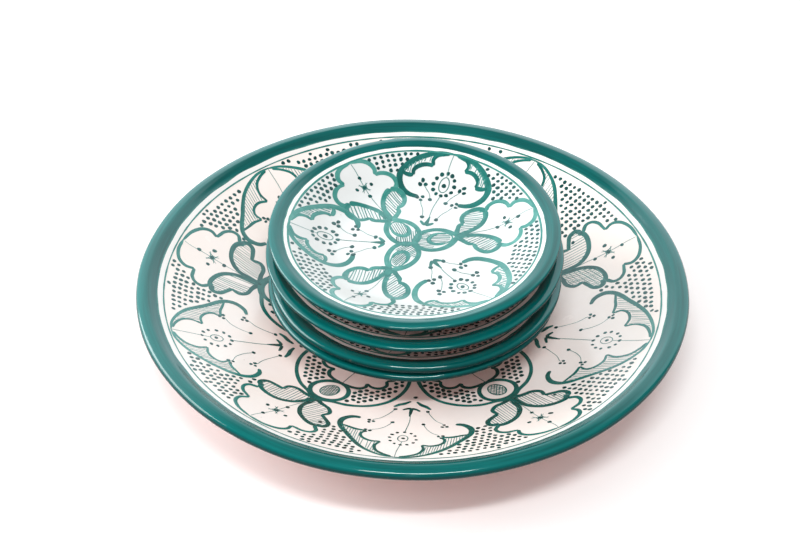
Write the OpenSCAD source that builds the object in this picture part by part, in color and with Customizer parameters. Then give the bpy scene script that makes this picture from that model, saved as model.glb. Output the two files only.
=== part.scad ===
// Hand thrown serving platter with a stack of four small plates on it.
// Every plate is one turned piece of fired clay: a well, a flat painted
// rim, a rounded lip and a trimmed foot ring. The small plates are
// thrown by hand, so each has its own height, depth, lip and lean.
// Units are millimetres, +Z is up, and the origin is the centre of the
// platter's foot ring where it stands on the table.

/* [Platter] */
// Outer diameter of the platter
platter_d = 350; // [320:1:380]
// Height of the platter from the table to the crest of its rim
platter_h = 51.6; // [48:0.1:56]
// Depth of the platter's well below the crest
platter_depth = 38.6; // [34:0.1:40]
// Thickness of the platter's lip
platter_lip = 6.4; // [5:0.1:8]
// Outer diameter of the platter's foot ring
platter_foot_d = 156; // [140:1:170]
// Width of the flat painted rim
platter_rim_w = 13.7; // [10:0.1:18]

/* [Small plates] */
// Diameters of the bottom, lower, upper and top small plates
small_d = [183.8, 184.0, 187.0, 182.4]; // [170:0.2:195]
// Heights of the four plates, foot to crest
small_h = [35.3, 26.9, 30.8, 29.8]; // [24:0.1:40]
// Depths of the four wells below the crest
small_depth = [19.7, 12.9, 14.5, 14.8]; // [11:0.1:22]
// Lip thicknesses of the four plates
small_lip = [4.6, 5.2, 3.2, 3.2]; // [2.5:0.1:6]
// Width of the flat painted rim
small_rim_w = 9.4; // [7:0.1:12]
// Outer diameter of the foot rings
small_foot_d = 82; // [70:1:84]
// Radius of the level floor in each well
small_floor_r = 44; // [43:0.5:46]

/* [Stacking] */
// Sideways place of each small plate's foot ring, left to right
stack_x = [0.2, 2.1, 1.2, 1.2]; // [-3:0.1:3]
// Sideways place of each small plate's foot ring, front to back
stack_y = [0, 0, 0.5, 1.1]; // [-3:0.1:3]
// Lean of each small plate towards the front, in degrees
lean_front = [0, 0, 1.0, 2.2]; // [0:0.1:2.4]
// Lean of each small plate towards the left, in degrees
lean_left = [0, 0, 0.2, 0.75]; // [0:0.05:1]
// Gap left under each foot ring
rest_gap = 0.1; // [0.05:0.05:0.5]

/* [Hidden] */
$fn = 180;
glaze = "whitesmoke";
STEPS = 12;                       // pieces of profile per curve
small_foot_h = 7;                 // foot ring height outside
small_floor_t = 7.5;              // clay left under each small well
platter_foot_h = 6.5;             // foot ring height outside
platter_floor_t = 7.5;            // clay left under the platter's well
platter_floor_r = 46;             // level floor of the platter

// Smooth curve from p to q with end slopes m and n, first point left out
function curve(p, q, m, n, k = STEPS) =
    let (w = q[0] - p[0])
    [for (i = [1:k]) let (t = i / k, a = t * t, b = a * t)
        [p[0] + w * t,
         p[1] * (2 * b - 3 * a + 1) + q[1] * (3 * a - 2 * b)
         + w * (m * (b - 2 * a + t) + n * (b - a))]];

// Half section of a plate, well first, then lip, underside and foot ring
function plate_section(r, h, depth, lip, rim_w, foot_r, floor_r, foot_h,
                       floor_t, rise, wall) =
    let (z0 = h - depth,          // top of the well floor
         rb = r - rim_w,          // inner edge of the painted rim
         zb = h - rise,           // its height
         e = lip / 2,             // radius of the lip
         rc = r - 0.40 * rim_w - 0.35 * e,    // crest
         zl = h - 0.12 * rim_w / 2 - e,       // centre of the lip round
         fi = foot_r - foot_h * 0.75)         // inside of the foot ring
    concat(
        [[0, z0], [floor_r, z0]],
        curve([floor_r, z0], [rb, zb], 0, wall),
        curve([rb, zb], [rc, h], wall * 0.62, 0, 5),
        [for (a = [66:-22:-66]) [r - e + e * cos(a), zl + e * sin(a)]],
        curve([r - 1.05 * e, zl - e], [foot_r + 2, foot_h], wall * 0.55, 0.20),
        [[foot_r, foot_h * 0.45], [foot_r - 0.3, 0.7], [foot_r - 1, 0],
         [fi + 1, 0], [fi + 0.3, 0.7], [fi - 0.6, z0 - floor_t - 1],
         [fi - 1.6, z0 - floor_t], [0, z0 - floor_t]]);

// Height of the level floor of small plate i above its own foot
function floor_z(i) = small_h[i] - small_depth[i];

// How far a foot ring has to be raised to lean by a and b degrees
function lean_lift(a, b) = small_foot_d / 2 * sin(sqrt(a * a + b * b));

// Height of each foot ring's centre, from the platter's floor upwards
function seat_z(i) = i == 0
    ? platter_h - platter_depth + rest_gap
    : seat_z(i - 1) + floor_z(i - 1) + rest_gap
      + lean_lift(lean_front[i] - lean_front[i - 1],
                  lean_left[i] - lean_left[i - 1]);

// The large platter
module serving_platter() {
    color(glaze)
    rotate_extrude()
    polygon(plate_section(platter_d / 2, platter_h, platter_depth,
        platter_lip, platter_rim_w, platter_foot_d / 2, platter_floor_r,
        platter_foot_h, platter_floor_t, 3.6, 0.5));
}

// Small plate i at its place in the stack, leaning as it rests
module small_plate(i) {
    translate([stack_x[i], stack_y[i], seat_z(i)])
    rotate([lean_front[i], -lean_left[i], 0])
    rotate_extrude()
    polygon(plate_section(small_d[i] / 2, small_h[i], small_depth[i],
        small_lip[i], small_rim_w, small_foot_d / 2, small_floor_r,
        small_foot_h, small_floor_t, 1.6, 0.27));
}

module small_plate_bottom() { color(glaze) small_plate(0); }
module small_plate_lower() { color(glaze) small_plate(1); }
module small_plate_upper() { color(glaze) small_plate(2); }
module small_plate_top() { color(glaze) small_plate(3); }

serving_platter();
small_plate_bottom();
small_plate_lower();
small_plate_upper();
small_plate_top();
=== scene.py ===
import math
import random

import bpy
import numpy as np
from mathutils import Matrix, Vector, noise


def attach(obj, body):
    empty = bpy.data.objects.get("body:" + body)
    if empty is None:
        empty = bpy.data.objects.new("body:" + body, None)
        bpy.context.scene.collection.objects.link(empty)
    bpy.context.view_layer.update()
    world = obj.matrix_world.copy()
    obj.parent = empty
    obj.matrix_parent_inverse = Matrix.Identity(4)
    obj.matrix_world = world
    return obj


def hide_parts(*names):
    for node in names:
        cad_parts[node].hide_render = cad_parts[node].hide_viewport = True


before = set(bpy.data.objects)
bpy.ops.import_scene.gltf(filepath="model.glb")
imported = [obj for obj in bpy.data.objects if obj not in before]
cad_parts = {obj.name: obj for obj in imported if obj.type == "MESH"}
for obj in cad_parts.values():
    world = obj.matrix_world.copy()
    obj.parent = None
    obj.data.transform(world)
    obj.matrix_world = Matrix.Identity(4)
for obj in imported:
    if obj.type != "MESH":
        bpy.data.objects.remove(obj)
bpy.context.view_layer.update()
MM = 0.001

# ---------------------------------------------------------------- the plates
# Lengths in mm, in each plate's own frame: origin at the middle of the foot ring's plane, +Z up.


def plate(node, body, slot, r, h, depth, lip, big, seat, lean, **more):
    return dict(
        node=node, body=body, slot=slot, r=r, h=h, depth=depth, lip=lip,
        rim=13.7 if big else 9.4, foot=78.0 if big else 41.0, floor=46.0 if big else 44.0,
        foot_h=6.5 if big else 7.0, floor_t=7.5, rise=3.6 if big else 1.6,
        wall=0.5 if big else 0.27, seat=seat, lean=lean, big=big, **more,
    )


PLATES = [
    plate("serving_platter", "platter", "platter_glaze", 175.0, 51.6, 38.6, 6.4, True,
          (0, 0, 0), (0, 0), seed=11),
    plate("small_plate_bottom", "bottom_plate", "bottom_glaze", 91.9, 35.3, 19.7, 4.6, False,
          (0.2, 0.0, 13.1), (0, 0), seed=23, turn=-16),
    plate("small_plate_lower", "lower_plate", "lower_glaze", 92.0, 26.9, 12.9, 5.2, False,
          (2.1, 0.0, 28.8), (0, 0), seed=37, turn=24),
    plate("small_plate_upper", "upper_plate", "upper_glaze", 93.5, 30.8, 14.5, 3.2, False,
          (1.2, 0.5, 43.63), (1.0, 0.2), seed=51, turn=-38),
    plate("small_plate_top", "top_plate", "top_glaze", 91.2, 29.8, 14.8, 3.2, False,
          (1.2, 1.1, 60.97), (2.2, 0.75), seed=5, turn=0),
]


def place(P):
    """The plate's own frame, in mm, to the row frame, in mm."""
    return (
        Matrix.Translation(Vector(P["seat"]))
        @ Matrix.Rotation(math.radians(-P["lean"][1]), 4, "Y")
        @ Matrix.Rotation(math.radians(P["lean"][0]), 4, "X")
    )


# ---------------------------------------------------------------- procedural materials


class Nodes:
    """A material's node tree, with short calls for the nodes used here."""

    def __init__(self, name):
        self.mat = bpy.data.materials.new(name)
        self.mat.use_nodes = True
        self.t = self.mat.node_tree
        self.t.nodes.clear()
        self.out = self.t.nodes.new("ShaderNodeOutputMaterial")
        self.bsdf = self.t.nodes.new("ShaderNodeBsdfPrincipled")
        self.t.links.new(self.bsdf.outputs[0], self.out.inputs[0])

    def put(self, value, socket):
        if isinstance(value, bpy.types.NodeSocket):
            self.t.links.new(value, socket)
        else:
            socket.default_value = value

    def shader(self, **values):
        for k, v in values.items():
            self.put(v, self.bsdf.inputs[k.replace("_", " ")])
        return self.mat

    def attr(self, name, out="Vector"):
        n = self.t.nodes.new("ShaderNodeAttribute")
        n.attribute_name = name
        return n.outputs[out]

    def math(self, op, a, b=0.0, c=0.0, clamp=False):
        n = self.t.nodes.new("ShaderNodeMath")
        n.operation, n.use_clamp = op, clamp
        for i, v in enumerate((a, b, c)):
            self.put(v, n.inputs[i])
        return n.outputs[0]

    def split(self, v):
        n = self.t.nodes.new("ShaderNodeSeparateXYZ")
        self.put(v, n.inputs[0])
        return n.outputs

    def join(self, x, y, z):
        n = self.t.nodes.new("ShaderNodeCombineXYZ")
        for i, v in enumerate((x, y, z)):
            self.put(v, n.inputs[i])
        return n.outputs[0]

    def radius(self, v):
        x, y, _ = self.split(v)
        return self.math("SQRT", self.math("ADD", self.math("MULTIPLY", x, x), self.math("MULTIPLY", y, y)))

    def noise(self, v, scale, detail=2.0, rough=0.5, warp=0.0):
        n = self.t.nodes.new("ShaderNodeTexNoise")
        self.put(v, n.inputs["Vector"])
        n.inputs["Scale"].default_value = scale
        n.inputs["Detail"].default_value = detail
        n.inputs["Roughness"].default_value = rough
        n.inputs["Distortion"].default_value = warp
        return n.outputs["Fac"]

    def cells(self, v, scale, feature="F1"):
        n = self.t.nodes.new("ShaderNodeTexVoronoi")
        n.feature = feature
        self.put(v, n.inputs["Vector"])
        n.inputs["Scale"].default_value = scale
        return n.outputs["Distance"]

    def span(self, v, a, b, to_a=0.0, to_b=1.0):
        n = self.t.nodes.new("ShaderNodeMapRange")
        n.clamp = True
        self.put(v, n.inputs["Value"])
        for k, x in (("From Min", a), ("From Max", b), ("To Min", to_a), ("To Max", to_b)):
            n.inputs[k].default_value = x
        return n.outputs[0]

    def ramp(self, v, *stops):
        n = self.t.nodes.new("ShaderNodeValToRGB")
        self.put(v, n.inputs[0])
        e = n.color_ramp.elements
        while len(e) < len(stops):
            e.new(0.5)
        for i, (pos, col) in enumerate(stops):
            e[i].position = pos
            e[i].color = (*col, 1.0)
        return n.outputs[0]

    def mix(self, fac, a, b, mode="MIX"):
        n = self.t.nodes.new("ShaderNodeMix")
        n.data_type, n.blend_type = "RGBA", mode
        self.put(fac, n.inputs[0])
        for v, s in ((a, n.inputs[6]), (b, n.inputs[7])):
            self.put((*v, 1.0) if isinstance(v, tuple) else v, s)
        return n.outputs[2]

    def bump(self, height, strength, distance, under=None):
        n = self.t.nodes.new("ShaderNodeBump")
        n.inputs["Strength"].default_value = strength
        n.inputs["Distance"].default_value = distance
        self.put(height, n.inputs["Height"])
        if under is not None:
            self.put(under, n.inputs["Normal"])
        return n.outputs[0]


def white_glaze(name, base, warm, cool):
    """Tin-white glaze over red clay: pale, a little warm where it is thin, with pinholes and a slow ripple."""
    n = Nodes(name)
    p = n.attr("loc")
    big = n.noise(p, 14, 3, 0.55, 0.4)
    col = n.ramp(big, (0.30, warm), (0.52, base), (0.72, cool))
    col = n.mix(n.span(n.noise(p, 95, 2), 0.35, 0.75, 0.0, 0.22), col, tuple(0.96 * c for c in warm))
    speck = n.math("LESS_THAN", n.cells(p, 150), 0.055)
    some = n.math("GREATER_THAN", n.noise(p, 60, 1), 0.60)
    col = n.mix(n.math("MULTIPLY", n.math("MULTIPLY", speck, some), 0.55), col, (0.36, 0.25, 0.18))
    rough = n.span(n.noise(p, 55, 3), 0.3, 0.75, 0.15, 0.28)
    b = n.bump(n.noise(p, 30, 2), 0.35, 0.0006)
    b = n.bump(n.noise(p, 420, 2), 0.10, 0.00015, b)
    return n.shader(Base_Color=col, Roughness=rough, Normal=b, IOR=1.52, Specular_IOR_Level=0.40, Coat_Weight=0.12,
                    Coat_Roughness=0.05)


def green_glaze():
    """The brushed band: banding streaks round the rim, thinner and brighter on the lip, darker where it pools, and
    painted shade that turns the lower outside of the lip near-black.
    """
    n = Nodes("green_band_glaze")
    p = n.attr("loc")
    x, y, z = n.split(p)
    r = n.radius(p)
    band = n.attr("band", "Fac")
    rings = n.join(n.math("MULTIPLY", x, 16.0), n.math("MULTIPLY", y, 16.0),
                   n.math("ADD", n.math("MULTIPLY", r, 620.0), n.math("MULTIPLY", z, 60.0)))
    streak = n.noise(rings, 1.0, 4, 0.6, 0.3)
    slow = n.noise(p, 17, 2, 0.5)
    tone = n.math("ADD", n.math("MULTIPLY", streak, 0.65), n.math("MULTIPLY", slow, 0.35))
    col = n.ramp(tone, (0.30, (0.0005, 0.059, 0.055)), (0.50, (0.0008, 0.095, 0.089)),
                 (0.72, (0.0016, 0.134, 0.126)))
    col = n.mix(n.span(band, 0.72, 0.98, 0.0, 0.75), col, (0.001, 0.154, 0.146))
    # painted shade: where the under attribute rises past the lip's crest, the colour is mixed to near-black green to
    # stand in for the shadow under the rim
    under = n.attr("under", "Fac")
    col = n.mix(n.math("MULTIPLY", under, 0.92), col, (0.0006, 0.026, 0.026))
    thin = n.math("MULTIPLY", n.span(band, 0.085, 0.0, 0.0, 1.0), n.span(n.noise(p, 130, 2), 0.35, 0.7, 0.1, 0.75))
    col = n.mix(thin, col, (0.10, 0.32, 0.27))
    bare = n.math("MULTIPLY", n.span(n.noise(p, 210, 3), 0.66, 0.74), n.span(band, 0.93, 0.99))
    col = n.mix(n.math("MULTIPLY", bare, 0.5), col, (0.16, 0.12, 0.085))
    rough = n.span(n.noise(p, 70, 3), 0.3, 0.75, 0.05, 0.14)
    b = n.bump(streak, 0.22, 0.00035)
    b = n.bump(n.noise(p, 34, 2), 0.40, 0.0006, b)
    sheen = n.span(under, 0.0, 0.8, 0.42, 0.10)
    return n.shader(Base_Color=col, Roughness=rough, Normal=b, IOR=1.5, Specular_IOR_Level=sheen,
                    Coat_Weight=n.span(under, 0.0, 0.8, 0.30, 0.04), Coat_Roughness=0.03)


def clay_under():
    """The underside: red clay under a thin clear glaze, with throwing rings."""
    n = Nodes("red_clay_clear_glaze")
    p = n.attr("loc")
    x, y, z = n.split(p)
    r = n.radius(p)
    turn = n.join(n.math("MULTIPLY", x, 9.0), n.math("MULTIPLY", y, 9.0), n.math("MULTIPLY", r, 330.0))
    rings = n.noise(turn, 1.0, 3, 0.55)
    col = n.ramp(n.noise(p, 28, 4, 0.6, 0.5), (0.30, (0.36, 0.080, 0.048)), (0.55, (0.47, 0.120, 0.072)),
                 (0.75, (0.54, 0.170, 0.105)))
    col = n.mix(n.span(rings, 0.35, 0.7, 0.0, 0.35), col, (0.36, 0.085, 0.05))
    speck = n.math("LESS_THAN", n.cells(p, 240), 0.10)
    col = n.mix(n.math("MULTIPLY", speck, 0.4), col, (0.72, 0.42, 0.30))
    rough = n.span(n.noise(p, 90, 3), 0.3, 0.7, 0.28, 0.48)
    b = n.bump(rings, 0.55, 0.0009)
    b = n.bump(n.noise(p, 600, 3), 0.18, 0.0002, b)
    return n.shader(Base_Color=col, Roughness=rough, Normal=b, Coat_Weight=0.15, Coat_Roughness=0.25)


def clay_bare():
    """The foot ring and the recess it stands round: dry fired clay, paler where it has rubbed on shelves."""
    n = Nodes("bare_fired_clay")
    p = n.attr("loc")
    grain = n.noise(p, 900, 4, 0.65)
    col = n.ramp(n.noise(p, 40, 4, 0.6), (0.30, (0.42, 0.155, 0.090)), (0.55, (0.55, 0.235, 0.145)),
                 (0.75, (0.64, 0.335, 0.225)))
    worn = n.attr("worn", "Fac")
    col = n.mix(n.math("MULTIPLY", worn, n.span(n.noise(p, 75, 3), 0.35, 0.6)), col, (0.70, 0.50, 0.39))
    col = n.mix(n.span(grain, 0.58, 0.75, 0.0, 0.35), col, (0.24, 0.09, 0.055))
    rough = n.span(grain, 0.3, 0.7, 0.72, 0.93)
    return n.shader(Base_Color=col, Roughness=rough, Normal=n.bump(grain, 0.5, 0.00035))


def brush_paint():
    """Copper-green brushwork: a loaded brush starts dark and dries out pale, with hairs' streaks along the stroke."""
    n = Nodes("brushed_green_pigment")
    s = n.attr("brush")
    x, y, z = n.split(s)
    hairs = n.noise(n.join(n.math("MULTIPLY", x, 0.10), n.math("MULTIPLY", y, 2.1), z), 1.0, 3, 0.6)
    load = n.noise(n.join(n.math("MULTIPLY", x, 0.22), n.math("MULTIPLY", y, 0.25), z), 1.0, 2, 0.5)
    tone = n.math("ADD", n.attr("tone", "Fac"), n.math("MULTIPLY", n.math("SUBTRACT", hairs, 0.5), 0.55))
    tone = n.math("ADD", tone, n.math("MULTIPLY", n.math("SUBTRACT", load, 0.5), 0.45))
    edge = n.math("MULTIPLY", n.math("POWER", n.math("ABSOLUTE", y), 5.0), 0.16)
    tone = n.math("SUBTRACT", tone, edge, clamp=True)
    col = n.ramp(tone, (0.0, (0.095, 0.310, 0.272)), (0.25, (0.038, 0.222, 0.190)),
                 (0.50, (0.011, 0.152, 0.129)), (0.75, (0.0035, 0.098, 0.084)), (1.0, (0.0015, 0.055, 0.049)))
    rough = n.span(load, 0.3, 0.7, 0.12, 0.24)
    b = n.bump(hairs, 0.20, 0.0002)
    return n.shader(Base_Color=col, Roughness=rough, Normal=b, IOR=1.52, Coat_Weight=0.35, Coat_Roughness=0.04)


def dot_paint():
    """Thick drops of pigment: nearly black-green in the middle, greener at the thin edge."""
    n = Nodes("dotted_dark_pigment")
    s = n.attr("brush")
    x, y, z = n.split(s)
    p = n.attr("loc")
    tone = n.math("ADD", n.attr("tone", "Fac"), n.math("MULTIPLY", n.math("SUBTRACT", n.noise(p, 500, 2), 0.5), 0.5))
    tone = n.math("SUBTRACT", tone, n.math("MULTIPLY", n.math("POWER", y, 4.0), 0.35), clamp=True)
    col = n.ramp(tone, (0.0, (0.042, 0.188, 0.168)), (0.35, (0.012, 0.098, 0.090)), (0.8, (0.004, 0.049, 0.046)))
    rough = n.span(n.noise(p, 300, 2), 0.3, 0.7, 0.14, 0.26)
    return n.shader(Base_Color=col, Roughness=rough, Normal=n.bump(n.noise(p, 900, 2), 0.15, 0.0001), IOR=1.52,
                    Coat_Weight=0.3, Coat_Roughness=0.05)


def fine_paint():
    """Hairline work: a thin brush's grey-green, fading along the line."""
    n = Nodes("fine_line_pigment")
    s = n.attr("brush")
    x, y, z = n.split(s)
    fade = n.noise(n.join(n.math("MULTIPLY", x, 0.16), n.math("MULTIPLY", y, 0.3), z), 1.0, 3, 0.6)
    tone = n.math("ADD", n.attr("tone", "Fac"), n.math("MULTIPLY", n.math("SUBTRACT", fade, 0.5), 0.9), clamp=True)
    col = n.ramp(tone, (0.0, (0.140, 0.335, 0.302)), (0.45, (0.048, 0.196, 0.176)), (1.0, (0.012, 0.090, 0.083)))
    rough = n.span(fade, 0.3, 0.7, 0.14, 0.24)
    return n.shader(Base_Color=col, Roughness=rough, Normal=n.bump(fade, 0.10, 0.0001), IOR=1.52,
                    Coat_Weight=0.3, Coat_Roughness=0.05)


WHITE_BIG = white_glaze("white_glaze_platter", (0.865, 0.805, 0.770), (0.845, 0.765, 0.715), (0.88, 0.835, 0.81))
# painted shade: the small plates' glaze is set darker than the platter's, and the top plate's copy darker still, to
# offset the stronger light on the stack; their cooler tint is the glaze's own
WHITE_SMALL = white_glaze("white_glaze_small_plates", (0.72, 0.708, 0.702), (0.695, 0.67, 0.655), (0.735, 0.735, 0.735))
WHITE_TOP_SHADED = white_glaze("white_glaze_top_plate_painted_shade", (0.655, 0.672, 0.668), (0.630, 0.635, 0.622), (0.670, 0.698, 0.698))
RING_WHITE = white_glaze("white_glaze_ring", (0.80, 0.79, 0.775), (0.78, 0.755, 0.73), (0.81, 0.805, 0.80))
GREEN, UNDER, BARE = green_glaze(), clay_under(), clay_bare()
BRUSH, DOTS, FINE = brush_paint(), dot_paint(), fine_paint()

# ---------------------------------------------------------------- plate bodies


def curve(p, q, m, n, ts):
    """Points at each t on the cubic from p to q, of slope m at p and n at q. p itself is left out."""
    w, o = q[0] - p[0], []
    for t in ts:
        a, b = t * t, t * t * t
        o.append([p[0] + w * t, p[1] * (2 * b - 3 * a + 1) + q[1] * (3 * a - 2 * b) + w * (m * (b - 2 * a + t) + n * (b - a))])
    return o


def even(k):
    return [i / k for i in range(1, k + 1)]


def profile(P):
    """The plate's section, from the middle of its face over the lip to the middle of its underside, and named places on it."""
    r, h, lip, fh, ft = P["r"], P["h"], P["lip"], P["foot_h"], P["floor_t"]
    z0, rb, zb, e = h - P["depth"], r - P["rim"], h - P["rise"], lip / 2
    rc = r - 0.40 * P["rim"] - 0.35 * e
    zl = h - 0.12 * P["rim"] / 2 - e
    fr, fl = P["foot"], P["floor"]
    fi = fr - fh * 0.75
    pts = [[0.0, z0]] + [[fl * x, z0] for x in (0.06, 0.2, 0.38, 0.58, 0.8, 1.0)]
    line_t = (P["line"] - fl) / (rb - fl)
    pts += curve([fl, z0], [rb, zb], 0, P["wall"], sorted(set(even(44)) | {line_t}))
    mark = {"line": next(i for i, q in enumerate(pts) if abs(q[0] - P["line"]) < 1e-6), "band": len(pts) - 1}
    pts += curve([rb, zb], [rc, h], P["wall"] * 0.62, 0, even(14))
    pts += [[r - e + e * math.cos(a), zl + e * math.sin(a)] for a in np.radians(np.linspace(66, -66, 15))]
    span = (r - 1.05 * e) - (fr + 2)
    under = 0.055 if P["big"] else 0.085
    pts += curve([r - 1.05 * e, zl - e], [fr + 2, fh], P["wall"] * 0.55, 0.20, sorted(set(even(30)) | {under}))
    want = (r - 1.05 * e) - span * under
    mark["glaze_end"] = min(range(mark["band"] + 20, len(pts)), key=lambda i: abs(pts[i][0] - want))
    mark["foot"] = len(pts) - 1
    pts += [[fr + 0.9, fh * 0.72], [fr, fh * 0.45], [fr - 0.15, fh * 0.25], [fr - 0.3, 0.7], [fr - 0.6, 0.2], [fr - 1, 0.0]]
    pts += [[fi + 1, 0], [fi + 0.6, 0.2], [fi + 0.3, 0.7], [fi - 0.15, (z0 - ft) * 0.5], [fi - 0.6, z0 - ft - 1],
            [fi - 1.0, z0 - ft - 0.35], [fi - 1.6, z0 - ft]]
    pts += [[(fi - 1.6) * x, z0 - ft] for x in (0.85, 0.65, 0.45, 0.25, 0.08, 0.0)]
    return np.array(pts), mark


def waves(rnd, count=7, lo=2, hi=40):
    """A slow wandering round the plate, about 1 in size, that closes on itself."""
    ks = [(rnd.randint(lo, hi), rnd.uniform(0, 2 * math.pi), rnd.uniform(0.4, 1.0)) for _ in range(count)]
    ks = [(k, a, w / math.sqrt(max(k, 3) / 3)) for k, a, w in ks]
    total = math.sqrt(sum(w * w for _, _, w in ks) / 2) * 1.6
    return lambda t: sum(w * np.sin(k * t + a) for k, a, w in ks) / total


def make_object(name, verts, faces, P, mats, index=None, **attrs):
    """A mesh in the row frame from points in mm in the plate's own frame. Attribute loc keeps the plate's own place."""
    M = np.array(place(P))
    v = np.asarray(verts, float)
    w = (v @ M[:3, :3].T + M[:3, 3]) * MM
    me = bpy.data.meshes.new(name)
    me.from_pydata(w.tolist(), [], faces)
    for m in mats:
        me.materials.append(m)
    if index is not None:
        me.polygons.foreach_set("material_index", index)
    me.polygons.foreach_set("use_smooth", [True] * len(me.polygons))
    loc = v * MM
    loc[:, 2] += P["seed"] * 0.37
    me.attributes.new("loc", "FLOAT_VECTOR", "POINT").data.foreach_set("vector", loc.astype(np.float32).ravel())
    for k, a in attrs.items():
        a = np.asarray(a, np.float32)
        if a.ndim == 2:
            me.attributes.new(k, "FLOAT_VECTOR", "POINT").data.foreach_set("vector", a.ravel())
        else:
            me.attributes.new(k, "FLOAT", "POINT").data.foreach_set("value", a)
    me.validate()
    me.update()
    ob = bpy.data.objects.new(name, me)
    bpy.context.scene.collection.objects.link(ob)
    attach(ob, P["body"])
    return ob


def lathe(P):
    """The fired body of one plate, turned from its section, with the small unevenness of hand work."""
    rnd = random.Random(P["seed"])
    pts, mark = profile(P)
    P["face"] = (pts[: mark["band"] + 1, 0].copy(), pts[: mark["band"] + 1, 1].copy())
    seg = np.hypot(*np.diff(pts, axis=0).T)
    s = np.concatenate([[0], np.cumsum(seg)])
    n = 320 if P["big"] else 256
    th = np.arange(n) * 2 * math.pi / n
    rows = np.repeat(s[:, None], n, 1)
    for key, amp, reach in (("band", 0.28, 1.6), ("glaze_end", 1.0 if P["big"] else 0.8, 4.0)):
        wav = waves(rnd, 9, 2, 46)(th)
        rows += amp * wav[None, :] * np.exp(-(((s - s[mark[key]]) / reach) ** 2))[:, None]
    rr = np.interp(rows, s, pts[:, 0])
    zz = np.interp(rows, s, pts[:, 1])
    out = np.clip((rr - (P["r"] - P["rim"])) / 6.0, 0, 1)
    out = out * out * (3 - 2 * out)
    rr = rr + out * 0.16 * waves(rnd, 6, 2, 17)(th)[None, :]
    zz = zz + out * 0.16 * waves(rnd, 6, 2, 13)(th)[None, :]
    rings = np.sin(rr * 1.9 + 0.8 * np.sin(th)[None, :]) * 0.09
    low = np.zeros(len(s))
    low[mark["glaze_end"] + 2: mark["foot"] - 1] = 1.0
    zz = zz + rings * low[:, None]
    k = len(s)
    verts, faces, index = [(0, 0, pts[0, 1])], [], []
    x, y = rr * np.cos(th)[None, :], rr * np.sin(th)[None, :]
    verts += np.stack([x[1:-1], y[1:-1], zz[1:-1]], -1).reshape(-1, 3).tolist()
    verts.append((0, 0, pts[-1, 1]))
    last = len(verts) - 1

    def zone(j):
        if j < mark["line"]:
            return 0
        if j < mark["band"]:
            return 1
        if j < mark["glaze_end"]:
            return 2
        return 3 if j < mark["foot"] + 2 else 4

    for i in range(n):
        i2 = (i + 1) % n
        faces.append((0, 1 + i, 1 + i2))
        index.append(0)
        for j in range(1, k - 2):
            a, b = 1 + (j - 1) * n, 1 + j * n
            faces.append((a + i, b + i, b + i2, a + i2))
            index.append(zone(j))
        a = 1 + (k - 3) * n
        faces.append((a + i, last, a + i2))
        index.append(4)
    v = np.array(verts)
    r = np.hypot(v[:, 0], v[:, 1])
    band = (r - (P["r"] - P["rim"])) / P["rim"]
    worn = np.clip(1 - v[:, 2] / 1.2, 0, 1)
    # under rises from 0 past the lip's crest to 1 on the underside; the green glaze uses it to paint shade on the lower
    # outside of the lip
    rowed = np.clip((np.arange(k) - (mark["band"] + 14 + 2)) / 5.0, 0, 1)
    under = np.concatenate([[0], np.repeat(rowed[1:-1], n), [1]])
    # the top plate takes its own darker copy of the small plates' white glaze, as painted shade
    ob = make_object(P["node"] + "_body", v, faces, P,
                     [WHITE_BIG if P["big"] else WHITE_TOP_SHADED if P["node"] == "small_plate_top" else WHITE_SMALL,
                      RING_WHITE, GREEN, UNDER, BARE], index,
                     band=band, worn=worn, under=under)
    ob.data.set_sharp_from_angle(angle=math.radians(48))
    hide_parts(P["node"])
    return ob


# ---------------------------------------------------------------- brush, dots and hatching


def spline(pts, widths, closed=False, step=0.9):
    """A smooth line through the points, and its width along the way."""
    p = np.asarray(pts, float)
    w = np.broadcast_to(np.asarray(widths, float), (len(p),)) if np.ndim(widths) == 0 else np.interp(
        np.linspace(0, 1, len(p)), np.linspace(0, 1, len(widths)), widths)
    if closed:
        p = np.vstack([p[-1:], p, p[:2]])
        w = np.concatenate([w[-1:], w, w[:2]])
    else:
        p = np.vstack([2 * p[0] - p[1], p, 2 * p[-1] - p[-2]])
        w = np.concatenate([w[:1], w, w[-1:]])
    out, wid = [], []
    for i in range(1, len(p) - 2):
        p0, p1, p2, p3 = p[i - 1: i + 3]
        d = [max(np.linalg.norm(b - a), 1e-6) ** 0.5 for a, b in ((p0, p1), (p1, p2), (p2, p3))]
        t0, t1 = 0.0, d[0]
        t2, t3 = t1 + d[1], t1 + d[1] + d[2]
        k = max(2, int(math.ceil(np.linalg.norm(p2 - p1) / step)))
        for j in range(k):
            t = t1 + (t2 - t1) * j / k
            a1 = p0 * (t1 - t) / (t1 - t0) + p1 * (t - t0) / (t1 - t0)
            a2 = p1 * (t2 - t) / (t2 - t1) + p2 * (t - t1) / (t2 - t1)
            a3 = p2 * (t3 - t) / (t3 - t2) + p3 * (t - t2) / (t3 - t2)
            b1 = a1 * (t2 - t) / (t2 - t0) + a2 * (t - t0) / (t2 - t0)
            b2 = a2 * (t3 - t) / (t3 - t1) + a3 * (t - t1) / (t3 - t1)
            out.append(b1 * (t2 - t) / (t2 - t1) + b2 * (t - t1) / (t2 - t1))
            wid.append(w[i] + (w[i + 1] - w[i]) * j / k)
    out.append(p[-2] if not closed else p[1])
    wid.append(w[-2] if not closed else w[1])
    return np.array(out), np.array(wid)


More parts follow.
